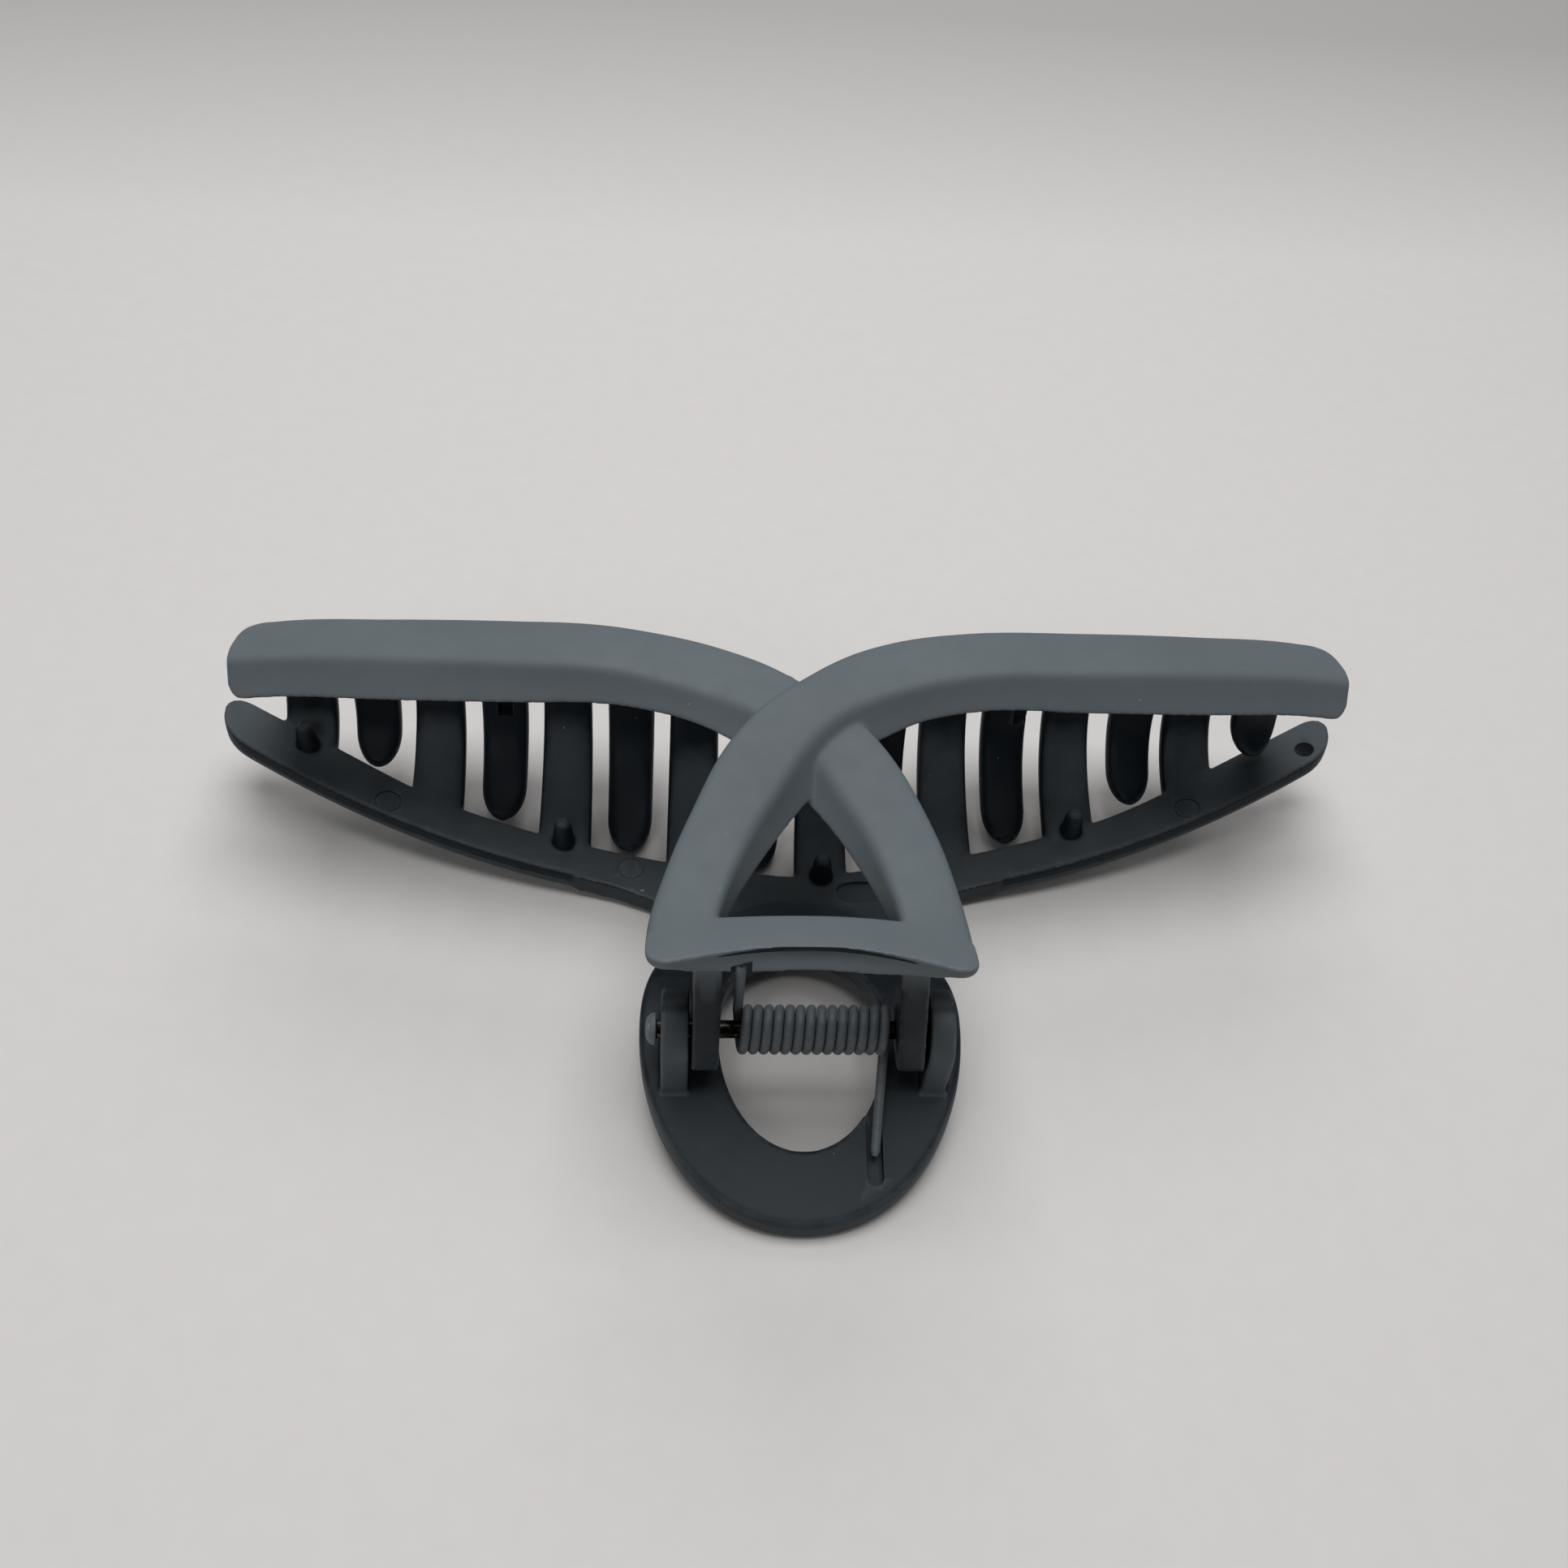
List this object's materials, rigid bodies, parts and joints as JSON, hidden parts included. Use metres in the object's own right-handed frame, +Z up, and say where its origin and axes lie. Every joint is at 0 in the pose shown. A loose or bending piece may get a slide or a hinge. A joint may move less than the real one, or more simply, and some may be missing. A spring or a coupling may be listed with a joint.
{
  "type": "claw clip",
  "caption": "Closed hair claw clip lying on its lower jaw: crossing ribbon bars with a triangular thumb frame above, crescent and finger ring below, interleaved teeth, spring hinge.",
  "frame": {"origin": "centre of the clip's footprint, on the surface that the closed clip lies on", "axes": "+X along the hinge, to the end of the crescent with the hang hole; +Y from the finger ring to the claws; +Z up, from the lower jaw to the upper jaw"},
  "size_m": [0.125, 0.0618, 0.0338],
  "materials": {
    "lower_jaw_plastic": "matte slate-grey soft-touch paint over moulded plastic",
    "upper_jaw_plastic": "matte slate-grey soft-touch paint over moulded plastic",
    "pin_steel": "satin steel, head painted with the clip",
    "spring_paint": "spring steel painted slate grey with the clip"
  },
  "bodies": {
    "lower": {"lower_jaw": "lower_jaw_plastic", "hinge_pin": "pin_steel", "torsion_spring": "spring_paint"},
    "upper": {"upper_jaw": "upper_jaw_plastic"}
  },
  "joints": [
    {"name": "jaw_hinge", "type": "hinge", "parent": "lower", "child": "upper", "pos_m": [0, -0.01486, 0.0124], "axis": [1, 0, 0], "range_deg": [0, 50], "stiffness_Nm_per_rad": 0.04, "springref_deg": -68.75, "deforming": ["torsion_spring"]}
  ]
}
